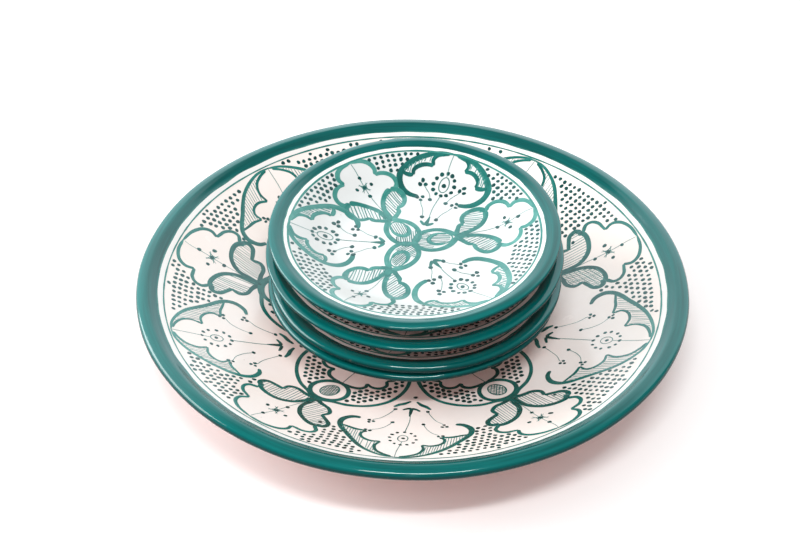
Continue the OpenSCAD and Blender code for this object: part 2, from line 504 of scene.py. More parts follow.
class Layer:
    """One kind of painted mark on one plate, gathered into one mesh of thin raised paint."""

    def __init__(self, deco, name, mat):
        self.d, self.name, self.mat = deco, name, mat
        self.v, self.f, self.tone, self.brush = [], [], [], []

    def add(self, xy, lift, faces, tone, brush):
        base = len(self.v)
        r = np.hypot(xy[:, 0], xy[:, 1])
        z = np.interp(r, *self.d.P["face"]) + lift
        self.v.extend(zip(xy[:, 0].tolist(), xy[:, 1].tolist(), z.tolist()))
        self.f.extend([tuple(base + i for i in f) for f in faces])
        self.tone.extend(np.broadcast_to(tone, (len(xy),)).tolist())
        self.brush.extend(np.asarray(brush, float).tolist())

    def finish(self):
        P = self.d.P
        ob = make_object(P["node"] + "_" + self.name, self.v, self.f, P, [self.mat], tone=self.tone, brush=self.brush)
        # a flat layout for maps: the plate seen from above
        uv = ob.data.uv_layers.new(name="OFBake")
        xy = np.array(self.v)[:, :2] / (2.04 * P["r"]) + 0.5
        idx = np.zeros(len(ob.data.loops), int)
        ob.data.loops.foreach_get("vertex_index", idx)
        uv.data.foreach_set("uv", xy[idx].astype(np.float32).ravel())
        return ob


class Deco:
    """All the painting on one plate. Every mark passes through one slow warp, as a hand drifts, so lines that meet still meet."""

    def __init__(self, P):
        self.P = P
        self.rnd = random.Random(P["seed"] * 101)
        self.lines = Layer(self, "brush_lines", BRUSH)
        self.fine = Layer(self, "fine_lines", FINE)
        self.dots = Layer(self, "dots", DOTS)
        self.walls = []  # what dots keep clear of
        self.areas = []  # closed shapes that fields of dots stay out of
        self.count = 0
        self.drift = 0.9 if P["big"] else 0.55
        self.reach = 30.0 if P["big"] else 20.0

    def warp(self, xy):
        xy = np.asarray(xy, float).reshape(-1, 2)
        out = xy.copy()
        lim = self.P["line"]
        for i, (x, y) in enumerate(xy):
            r = math.hypot(x, y)
            a = self.drift * min(1.0, max(0.0, (lim - r) / (0.12 * lim)) + 0.12)
            q = Vector((x / self.reach, y / self.reach, self.P["seed"] * 3.7))
            out[i] += (a * noise.noise(q) * 1.6, a * noise.noise(q + Vector((31.4, 17.2, 9.1))) * 1.6)
        return out

    def noise_along(self, s, knots, amp):
        k = max(3, int(s[-1] / knots) + 2)
        ys = [self.rnd.uniform(-1, 1) for _ in range(k)]
        return amp * np.interp(s / max(s[-1], 1e-6) * (k - 1), range(k), ys)

    def stroke(self, pts, widths, tone=(0.7, 0.5), closed=False, layer=None, wall=True, ends=(0.0, 0.0), step=0.9,
               height=1.0, warp=True, rough=0.07):
        """One pull of the brush through pts, in mm. tone runs from start to end; ends gives the length over which each end swells."""
        layer = layer or self.lines
        line, wid = spline(pts, widths, closed, step)
        if warp:
            line = self.warp(line)
        d = np.hypot(*np.diff(line, axis=0).T)
        keep = np.concatenate([[True], d > 1e-5])
        line, wid = line[keep], wid[keep]
        if len(line) < 2:
            return line
        s = np.concatenate([[0], np.cumsum(np.hypot(*np.diff(line, axis=0).T))])
        total = s[-1]
        if closed:
            at = np.linspace(0, total, max(8, int(total / step)) + 1)[:-1]
            cap = np.ones(len(at))
        else:
            r0, r1 = wid[0] / 2, wid[-1] / 2
            caps = np.array([0.0, 0.03, 0.12, 0.28, 0.55, 1.0])
            a0 = min(r0, total * 0.3) * caps
            a1 = total - min(r1, total * 0.3) * caps[::-1]
            mid = np.linspace(a0[-1], a1[0], max(2, int((a1[0] - a0[-1]) / step) + 1))[1:-1]
            at = np.concatenate([a0, mid, a1])
            cap = np.ones(len(at))
            cap[:6] = np.sqrt(np.clip(1 - (1 - caps) ** 2, 0.0006, 1))
            cap[-6:] = np.sqrt(np.clip(1 - (1 - caps[::-1]) ** 2, 0.0006, 1))
        x, y = np.interp(at, s, line[:, 0]), np.interp(at, s, line[:, 1])
        w = np.interp(at, s, wid) * (1 + np.interp(at, s, self.noise_along(s, 5.0, rough)))
        for e, dist in ((ends[0], at), (ends[1], total - at)):
            if e > 0:
                w = w * (0.35 + 0.65 * np.clip(dist / e, 0, 1) ** 0.7)
        w = w * cap
        if closed:
            tx, ty = np.roll(x, -1) - np.roll(x, 1), np.roll(y, -1) - np.roll(y, 1)
        else:
            tx, ty = np.gradient(x), np.gradient(y)
        ln = np.maximum(np.hypot(tx, ty), 1e-9)
        nx, ny = -ty / ln, tx / ln
        wide = float(np.max(w)) > 1.0
        across = np.array([-1, -0.6, 0, 0.6, 1.0]) if wide else np.array([-1, 0, 1.0])
        m, k = len(across), len(at)
        self.count += 1
        # later strokes lie over earlier ones, so paint never meets paint at one height
        h = (0.040 + 0.005 * (self.count * 5 % 13) + (0.040 if wide else 0.03) * (1 - across ** 2)) * height
        if not wide:
            h = h + 0.03
        xy = np.stack([x[:, None] + nx[:, None] * across * w[:, None] / 2,
                       y[:, None] + ny[:, None] * across * w[:, None] / 2], -1).reshape(-1, 2)
        lift = np.tile(h, k)
        if isinstance(tone, tuple):
            tv = tone[0] + (tone[1] - tone[0]) * at / total
        else:
            tv = np.full(k, float(tone))
        tv = tv + np.interp(at, s, self.noise_along(s, 14.0, 0.10))
        seed = self.rnd.uniform(0, 90)
        brush = np.stack([np.repeat(at, m), np.tile(across, k), np.full(k * m, seed)], -1)
        faces = []
        last = k if closed else k - 1
        for i in range(last):
            a, b = i * m, ((i + 1) % k) * m
            for j in range(m - 1):
                faces.append((a + j, b + j, b + j + 1, a + j + 1)[::-1])
        layer.add(xy, lift, faces, np.clip(np.repeat(tv, m), 0, 1), brush)
        if wall:
            self.walls.append(line)
        return line

    def hair(self, pts, w=None, tone=0.5, wall=False, ends=(0.0, 0.0)):
        w = w if w is not None else self.rnd.uniform(0.40, 0.54)
        return self.stroke(pts, w, (tone + 0.15, tone - 0.15), layer=self.fine, wall=wall, ends=ends, step=1.4, rough=0.18)

    def dot(self, x, y, r, tone=None, warp=True, wall=False, stretch=None):
        rnd = self.rnd
        if warp:
            x, y = self.warp([(x, y)])[0]
        n = 14
        a0 = rnd.uniform(0, 6.28)
        sx = 1 + rnd.uniform(-0.05, 0.12) if stretch is None else stretch
        ph, am = rnd.uniform(0, 6.28), rnd.uniform(0.02, 0.07)
        th = np.arange(n) * 2 * math.pi / n
        rad = r * (1 + am * np.sin(2 * th + ph) + 0.04 * np.sin(3 * th + 2 * ph))
        ux, uy = math.cos(a0), math.sin(a0)
        ring = np.stack([np.cos(th) * rad * sx, np.sin(th) * rad / sx], -1)
        ring = np.stack([ring[:, 0] * ux - ring[:, 1] * uy, ring[:, 0] * uy + ring[:, 1] * ux], -1)
        xy = np.vstack([[[0, 0]], ring * 0.62, ring]) + (x, y)
        lift = np.concatenate([[0.165], np.full(n, 0.15), np.full(n, 0.09)])
        faces = [(0, 1 + i, 1 + (i + 1) % n) for i in range(n)]
        faces += [(1 + i, 1 + n + i, 1 + n + (i + 1) % n, 1 + (i + 1) % n) for i in range(n)]
        seed = rnd.uniform(0, 90)
        brush = np.stack([np.full(2 * n + 1, seed), np.concatenate([[0], np.full(n, 0.62), np.full(n, 1.0)]),
                          np.full(2 * n + 1, seed)], -1)
        self.dots.add(xy, lift, faces, rnd.uniform(0.55, 1.0) if tone is None else tone, brush)
        if wall:
            self.walls.append(np.array([(x, y)]))

    def hatch(self, F, poly, angle, pitch, inset=0.6, w=0.46, tone=0.5, skip=0.0, lean=0.0):
        """Hairlines across a closed shape given in a motif's own frame, at angle to its axis."""
        rnd = self.rnd
        a = math.radians(angle + rnd.uniform(-2.5, 2.5) + lean)
        c, s = math.cos(a), math.sin(a)
        q = np.asarray(poly, float)
        q = np.stack([q[:, 0] * c - q[:, 1] * s, q[:, 0] * s + q[:, 1] * c], -1)
        v = q[:, 0].min() + pitch * rnd.uniform(0.4, 0.9)
        while v < q[:, 0].max():
            cuts = []
            for (x0, y0), (x1, y1) in zip(q, np.roll(q, -1, 0)):
                if (x0 - v) * (x1 - v) < 0:
                    cuts.append(y0 + (y1 - y0) * (v - x0) / (x1 - x0))
            cuts.sort()
            for y0, y1 in zip(cuts[::2], cuts[1::2]):
                if y1 - y0 < 2.2 * inset + 0.5 or rnd.random() < skip:
                    continue
                y0 += inset * rnd.uniform(0.7, 1.5)
                y1 -= inset * rnd.uniform(0.7, 1.5)
                dv = rnd.uniform(-0.16, 0.16) * pitch
                pts = [(v - dv, y0), (v + rnd.uniform(-0.07, 0.07) * pitch, (y0 + y1) / 2), (v + dv, y1)]
                pts = [F((x * c + y * s, -x * s + y * c)) for x, y in pts]
                self.hair(pts, w * rnd.uniform(0.8, 1.25), tone + rnd.uniform(-0.2, 0.2))
            v += pitch * rnd.uniform(0.82, 1.18)

    def finish(self):
        return [layer.finish() for layer in (self.lines, self.fine, self.dots) if layer.v]


def motif_frame(angle, lean=0.0, pivot=0.0, sv=1.0, su=1.0, dv=0.0):
    """From a motif's own (v, u), with u pointing out along its axis and v to the right of it, to the plate's x and y."""
    a, b = math.radians(angle), math.radians(lean)
    c, s = math.cos(b), math.sin(b)

    def F(p):
        v, u = p[0] * sv + dv, p[1] * su - pivot
        v, u = v * c + u * s, -v * s + u * c + pivot
        return (u * math.cos(a) + v * math.sin(a), u * math.sin(a) - v * math.cos(a))

    return F


def inside(poly, pts):
    """Which points lie in the closed shape."""
    poly, pts = np.asarray(poly, float), np.asarray(pts, float)
    hit = np.zeros(len(pts), bool)
    for (x0, y0), (x1, y1) in zip(poly, np.roll(poly, -1, 0)):
        if y0 == y1:
            continue
        c = (y0 > pts[:, 1]) != (y1 > pts[:, 1])
        hit ^= c & (pts[:, 0] < (x1 - x0) * (pts[:, 1] - y0) / (y1 - y0) + x0)
    return hit


def near(walls, pts):
    """Each point's distance from the nearest line drawn so far."""
    w = np.vstack(walls)
    out = np.empty(len(pts))
    for i in range(0, len(pts), 200):
        d = pts[i: i + 200, None, :] - w[None, :, :]
        out[i: i + 200] = np.sqrt((d ** 2).sum(-1).min(1))
    return out


def dense(pts):
    return spline(pts, 1.0, step=1.2)[0]


def flip(pts, side):
    return [(side * x, y) for x, y in pts]


# The shapes, in mm, right half only, (v, u) in the motif's own frame. The other half is drawn mirrored, with its own drift.
R = 175.0
BIG_LARGE = dict(
    rim=[(.190, .584), (.221, .587), (.252, .615), (.258, .653), (.244, .690), (.216, .733), (.187, .777), (.151, .823),
         (.103, .862), (.052, .887), (0, .897)],
    rim_w=[1.9, 2.6, 2.9, 2.7, 2.5, 2.3, 2.2, 2.0, 1.7, 1.5, 1.3],
    join=3,
    scallops=[[(.251, .664), (.219, .676), (.190, .688), (.150, .692)],
              [(.150, .692), (.165, .721), (.154, .749), (.120, .770), (.080, .767)],
              [(.080, .767), (.093, .805), (.082, .845), (.052, .872), (.016, .889)]],
    pollen=(.735, .023, .017, .048, .0062, 12), stem=(.684, .51), ring=.893,
    stamens=[((.060, .520), (.078, .556), (.100, .590), (.122, .608), (.129, .622)),
             ((.055, .615), (.070, .650), (.094, .680), (.116, .692), (.126, .702))],
)
SMALL_LARGE = dict(
    rim=[(13.0, 44.6), (18.2, 44.9), (23.6, 47.0), (27.8, 51.5), (29.2, 57.2), (26.8, 63.8), (21.4, 70.6), (14.4, 75.7),
         (7.0, 78.4), (0, 79.3)],
    rim_w=[2.1, 2.5, 2.7, 2.9, 2.8, 2.7, 2.6, 2.3, 1.9, 1.5],
    join=4,
    scallops=[[(28.4, 59.0), (25.5, 58.2), (23.2, 58.4), (20.6, 59.2)],
              [(20.6, 59.2), (21.4, 62.6), (18.6, 66.6), (14.6, 68.6), (10.8, 68.6)],
              [(10.8, 68.6), (12.0, 72.2), (10.2, 75.8), (6.2, 77.6), (2.5, 78.7)]],
    pollen=(57.4, 4.9, 3.2, 7.6, 1.36, 12), stem=(50.2, 19.5), ring=78.8,
    stamens=[((4.9, 26.3), (6.6, 32.5), (9.6, 38.0), (11.6, 43.4)), ((5.4, 43.8), (7.0, 48.6), (10.2, 52.6), (13.2, 55.8))],
)
BIG_SMALL = dict(
    base=.589,
    leaf_in=[(.004, .589), (.003, .633), (.003, .675), (.027, .716), (.062, .738), (.100, .746), (.126, .738)],
    leaf_out=[(.126, .738), (.143, .722), (.137, .697), (.112, .680), (.084, .666)],
    leaf_low=[(.084, .666), (.092, .635), (.072, .611), (.037, .600), (.008, .589)],
    side=[(.140, .728), (.166, .748), (.166, .773), (.146, .793), (.124, .799), (.104, .804)],
    top=[(.104, .804), (.116, .832), (.104, .860), (.062, .884), (0, .893)],
    star=.778, ring=.892,
)
SMALL_SMALL = dict(
    base=28.0,
    leaf_in=[(0.5, 28.0), (1.6, 34.0), (3.0, 40.0), (6.6, 46.2), (11.6, 50.4), (16.4, 51.8)],
    leaf_out=[(16.4, 51.8), (20.2, 48.4), (21.0, 43.2), (18.8, 38.6), (14.6, 35.8), (10.2, 35.6)],
    leaf_low=[(10.2, 35.6), (9.6, 32.8), (6.0, 30.2), (1.4, 27.6)],
    side=[(17.2, 51.2), (20.4, 54.2), (20.9, 59.0), (18.4, 63.0), (14.6, 65.2), (10.8, 65.6)],
    top=[(10.8, 65.6), (12.6, 69.2), (11.2, 74.0), (6.6, 77.2), (0, 78.4)],
    star=60.5, ring=78.4,
)


def scaled(shape, k):
    def one(v):
        if isinstance(v, tuple):
            return tuple(one(x) for x in v)
        if isinstance(v, list):
            return [one(x) for x in v]
        return v * k if isinstance(v, float) else v

    keep = ("rim_w", "join")
    return {a: (b if a in keep else one(b)) for a, b in shape.items()}


BIG_LARGE, BIG_SMALL = scaled(BIG_LARGE, R), scaled(BIG_SMALL, R)


def cluster(d, x, y, r, gap):
    a = d.rnd.uniform(0, 2.1)
    for k in range(3):
        t = a + k * 2.094
        d.dot(x + gap * math.cos(t), y + gap * math.sin(t), r * d.rnd.uniform(0.88, 1.1))


def large_blossom(d, S, angle, lean, weight, tone, pitch, big, long=1.0, wide=1.0, shift=0.0, eye=0.0):
    """long and wide stretch the outline from the ring inwards and across; shift and eye move the stamens and the eye inwards."""
    rnd = d.rnd
    F = motif_frame(angle, lean, 0.515 * R if big else 15.0)
    end = S["rim"][-1][1]
    for side in (1, -1):
        k = wide * (1 + rnd.uniform(-0.035, 0.035))
        G = lambda p, k=k, side=side: F((p[0] * k * side, end - (end - p[1]) * long))
        H = lambda p, side=side: F((p[0] * side, p[1] - shift * min(1.0, max(0.25, (p[1] - S["stem"][1]) / (S["pollen"][0] - S["stem"][1]) * 1.5))))
        w = [x * weight for x in S["rim_w"]]
        t = tone + rnd.uniform(-0.08, 0.08)
        rim = S["rim"][:-1] + [(-1.2 * side * side, S["rim"][-1][1])]
        d.stroke([G(p) for p in rim], w, (t + 0.12, t - 0.22), ends=(0.0, 6.0))
        chain = []
        for i, sc in enumerate(S["scallops"]):
            ww = (1.5 if big else 1.85) * weight
            d.stroke([G(p) for p in sc], [ww * 0.8, ww, ww * 1.15, ww * 0.9], (t + 0.05, t - 0.10))
            chain.append(dense(sc))
        outer = dense(S["rim"][S["join"]:])
        poly = np.vstack([outer, np.vstack(chain)[::-1]])
        d.hatch(G, poly, 0, pitch, inset=1.2 if big else 1.45, w=0.42 if big else 0.62, tone=0.34, skip=0.03)
        for st in S["stamens"]:
            q = [H(p) for p in st]
            rr = S["pollen"][4] * (1.05 if big else 1.0)
            d.dot(*q[0], rr * 1.1)
            e = np.array(q[-1]) - np.array(q[-2])
            e = e / np.linalg.norm(e)
            gap = rr * 1.45
            d.hair([q[0]] + q[1:-1] + [tuple(np.array(q[-1]) - e * gap)], 0.42, 0.5)
            cluster(d, q[-1][0] + e[0] * 0.3, q[-1][1] + e[1] * 0.3, rr, gap)
    u0, al, aw, ring, rr, n = S["pollen"]
    u0 -= eye
    al, aw = al * rnd.uniform(0.92, 1.1), aw * rnd.uniform(0.88, 1.1)
    d.stroke([F((aw * math.sin(t) * (1 if abs(math.sin(t)) > 0.3 else 0.8), u0 - al * math.cos(t)))
              for t in np.linspace(0, 2 * math.pi, 13)[:-1]], 0.55 if big else 0.62, (0.75, 0.6), closed=True,
             layer=d.fine, wall=False, step=0.7)
    d.dot(*F((rnd.uniform(-0.3, 0.3), u0 + rnd.uniform(-0.5, 0.5))), rr * 1.12)
    for i in range(n):
        t = 2 * math.pi * (i + rnd.uniform(-0.12, 0.12)) / n
        d.dot(*F((ring * 0.93 * math.sin(t), u0 - ring * 1.06 * math.cos(t))), rr * rnd.uniform(0.9, 1.12))
    d.hair([F((0, S["ring"])), F((rnd.uniform(-0.6, 0.6), (S["ring"] + u0 + al) / 2)), F((0, u0 + al + 0.3))], 0.42, 0.4)
    s0, s1 = S["stem"]
    s0 -= eye
    bend = rnd.uniform(-1.0, 1.0)
    d.hair([F((0, s0)), F((bend, (s0 + s1) / 2)), F((0, s1 + (6 if big else 6)))], 0.5, 0.55)
    if big:
        d.stroke([F((0.2, s1 + 9)), F((0.1, s1 + 5)), F((0, s1 - 1.2))], [0.7, 1.8, 3.0], (0.85, 0.95))
        for side in (1, -1):
            d.stroke([F((0, s1 - 0.8)), F((side * 2.6, s1 - 0.2)), F((side * 5.8, s1 + 1.8))], [2.6, 2.1, 1.4], (0.95, 0.75))
            d.stroke([F((side * 1.9, .459 * R)), F((side * 5.6, .478 * R)), F((side * 8.6, .487 * R)), F((side * 12.0, .505 * R))],
                     [1.5, 2.7, 2.6, 1.6], (0.85, 0.55))
        d.dot(*F((0, .432 * R)), 1.35)
    else:
        d.stroke([F((0, s1 + 8.5)), F((0.1, s1 + 4.5)), F((0, s1 - 0.2))], [0.7, 2.0, 3.4], (0.6, 0.75))
        for side in (1, -1):
            d.stroke([F((0, s1 - 0.2)), F((side * 2.2, s1 + 1.0)), F((side * 4.6, s1 + 3.2))], [3.0, 2.4, 1.5], (0.75, 0.5))
    shape = np.vstack([dense(S["rim"]), dense(flip(S["rim"], -1))[::-1]])
    d.areas.append(d.warp([F((p[0] * wide, end - (end - p[1]) * long)) for p in shape]))


def small_blossom(d, S, angle, lean, weight, tone, pitch, big):
    rnd = d.rnd
    F = motif_frame(angle, lean, S["base"])
    edge = []
    for side in (1, -1):
        k = 1 + rnd.uniform(-0.06, 0.05)
        swing = math.radians(rnd.uniform(-12, -6) if big else rnd.uniform(-4, 5))
        b = S["base"]

        def leaf(p, k=k, side=side, swing=swing, b=b):
            v, u = p[0] * k, p[1] - b
            f = min(1.0, math.hypot(v, u) / 12.0)
            c, s = math.cos(swing * f), math.sin(swing * f)
            v, u = v * c - u * s, v * s + u * c
            return F((side * v, u + b))

        G = lambda p, k=k, side=side: F((p[0] * k * side, p[1]))
        t = tone + rnd.uniform(-0.08, 0.08)
        w = (2.4 if big else 2.65) * weight
        if side == 1:
            d.stroke([F((0.2, b - (1.5 if big else 1.8))), F((0, b + 1.5)), F((-0.1, b + 5.5))], [w * 1.2, w * 1.35, w * 0.8],
                     (t + 0.18, t + 0.08))
        d.stroke([leaf(p) for p in S["leaf_in"]], [w * 1.15, w, w * 0.95, w, w, w * 1.25], (t + 0.18, t + 0.02))
        d.stroke([leaf(p) for p in S["leaf_out"]], [w * 1.2, w, w * 0.9, w * 0.85], (t + 0.05, t))
        d.stroke([leaf(p) for p in S["leaf_low"]], [w * 0.7, w * 0.9, w * 0.9, w * 1.2], (t, t + 0.12))
        if big:
            d.dot(*leaf((S["leaf_in"][-1][0] - 0.4, S["leaf_in"][-1][1] - 0.6)), 2.0, tone=0.35)
        poly = np.vstack([dense(S["leaf_in"]), dense(S["leaf_out"]), dense(S["leaf_low"])])
        ang = rnd.uniform(-16, 6)
        d.hatch(leaf, poly, ang, pitch, inset=1.35, w=0.46 if big else 0.62, tone=0.48, skip=0.02)
        if big and rnd.random() < 0.2:
            d.hatch(leaf, poly, ang + 62, pitch * 1.3, inset=1.35, w=0.36, tone=0.40, skip=0.05)
        ww = (1.9 if big else 2.4) * weight
        d.stroke([G(p) for p in S["side"]], [ww * 1.1, ww, ww, ww * 0.9, ww * 0.75], (t - 0.05, t - 0.22))
        top = S["top"][:-1] + [(-0.8, S["top"][-1][1])]
        d.stroke([G(p) for p in top], [ww * 0.8, ww, ww * 1.05, ww * 0.9, ww * 0.7], (t - 0.12, t - 0.30), ends=(0, 4))
        half = np.vstack([dense(S["leaf_low"])[::-1], dense(S["leaf_out"])[::-1], dense(S["side"]), dense(S["top"])])
        half = [leaf(p) if j < len(half) * 0 else G(p) for j, p in enumerate(half)]
        edge.append(half)
    d.areas.append(d.warp(edge[0] + edge[1][::-1]))
    u = S["star"]
    a, c = (9.4, 7.0) if big else (6.6, 5.2)
    rr = 1.35 if big else 1.3
    d.dot(*F((0, u)), rr * 1.15)
    for v, q in ((0, a), (0, -a), (c, 0.6), (-c, -0.4)):
        d.dot(*F((v + rnd.uniform(-0.5, 0.5), u + q + rnd.uniform(-0.5, 0.5))), rr * rnd.uniform(0.9, 1.1))
    d.hair([F((0, S["base"] + (9 if big else 5))), F((rnd.uniform(-0.7, 0.7), (u + S["base"]) / 2)), F((0, u - a * 0.4)),
            F((0, u + a * 0.5)), F((rnd.uniform(-0.6, 0.6), (u + a + S["ring"]) / 2)), F((0, S["ring"] - 1))], 0.42, 0.42)
    for side in (1, -1):
        m = 1.9 if big else 1.5
        d.hair([F((side * m * 1.5, u - m * 2.2)), F((side * m * 0.8, u - 0.3)), F((side * m * 1.6, u + m * 1.9))],
               0.62, 0.62, ends=(2, 2))
        d.hair([F((-m * 2.1, u + side * m * 1.5)), F((0, u + side * m * 0.75)), F((m * 2.2, u + side * m * 1.6))],
               0.5, 0.5, ends=(2, 2))


def dot_rows(d, r_out, r_in, pitch, r_dot, clear):
    """Staggered rows of dots that follow the ring, wherever no motif is."""
    rnd, cand = d.rnd, []
    r, k = r_out, 0
    while r > r_in:
        n = int(2 * math.pi * r / pitch)
        off = (k % 2) * 0.5 + rnd.uniform(-0.08, 0.08)
        for i in range(n):
            t = 2 * math.pi * (i + off) / n
            rr = r + rnd.uniform(-0.22, 0.22)
            cand.append((rr * math.cos(t) + rnd.uniform(-0.25, 0.25), rr * math.sin(t) + rnd.uniform(-0.25, 0.25)))
        r -= pitch * 0.84
        k += 1
    cand = np.array(cand)
    ok = near(d.walls, cand) > clear
    for a in d.areas:
        ok &= ~inside(a, cand)
    for x, y in cand[ok]:
        d.dot(x, y, r_dot * rnd.uniform(0.86, 1.12), warp=False)


def paint_small(P):
    """A small plate: three large and three small blossoms round three hatched seeds that meet in the middle."""
    d = Deco(P)
    rnd = d.rnd
    top = P["turn"] == 0
    more = lambda x: 0.0 if top else rnd.uniform(-x, x)
    #        angle, long, wide, shift, eye, weight, tone
    large = [(70, 1.00, 1.00, 0.0, 0.0, 1.48, 0.66), (176, 1.22, 0.90, 5.5, 1.0, 1.34, 0.36), (305, 1.38, 1.03, 10.5, 7.5, 1.32, 0.32)]
    small = [(123, 1.28, 0.38), (15.5, 1.26, 0.42), (237.5, 1.24, 0.38)]
    for a, long, wide, shift, eye, w, t in large:
        large_blossom(d, SMALL_LARGE, a + P["turn"] + more(4), rnd.uniform(-1.5, 1.5), w + more(0.1), t + more(0.1), 1.65, False,
                      long + more(0.06), wide + more(0.04), shift, eye)
    for a, w, t in small:
        a += P["turn"] + more(4)
        small_blossom(d, SMALL_SMALL, a, rnd.uniform(-3, 3), w + more(0.06), t + more(0.06), 1.8, False)
        F = motif_frame(a, rnd.uniform(-3, 3), 27.0)
        rim = [(0.0, 0.4), (5.0, 2.6), (8.4, 7.4), (9.3, 13.4), (8.0, 19.4), (4.8, 24.4), (0.8, 27.8)]
        for side in (1, -1):
            d.stroke([F((side * x, y)) for x, y in rim], [3.8, 3.4, 3.2, 3.3, 3.4, 3.6, 3.9], (t + 0.10, t - 0.06))
        seed = [(5.0 * math.sin(q), 17.2 - 7.6 * math.cos(q)) for q in np.linspace(0, 2 * math.pi, 19)[:-1]]
        under = [p for p in seed if p[1] < 19.5]
        under.sort(key=lambda p: math.atan2(p[0], 17.2 - p[1]))
        d.stroke([F(p) for p in seed], 1.0, (0.36, 0.25), closed=True, wall=False)
        d.stroke([F(p) for p in under], [1.5, 2.9, 3.3, 3.0, 1.5], (t + 0.02, t - 0.06), wall=False)
        d.hatch(F, seed, 10, 1.3, inset=1.1, w=0.6, tone=0.62)
        outer = dense([(-8.4, 11.0)] + [(-x, y) for x, y in rim[1:3]][::-1] + rim[:3] + [(8.4, 11.0)])
        inner = dense([p for p in under if p[1] < 14.5])
        d.hatch(F, np.vstack([outer, inner[::-1]]), 24, 1.35, inset=0.9, w=0.66, tone=0.66)
    line = P["line"]
    d.stroke([(line * math.cos(t), line * math.sin(t)) for t in np.linspace(0, 2 * math.pi, 61)[:-1]],
             1.3, (0.34, 0.34), closed=True, warp=False, step=1.4, rough=0.22)
    dot_rows(d, line - 2.3, 60.5, 4.05, 1.26, 2.1)
    return d.finish()


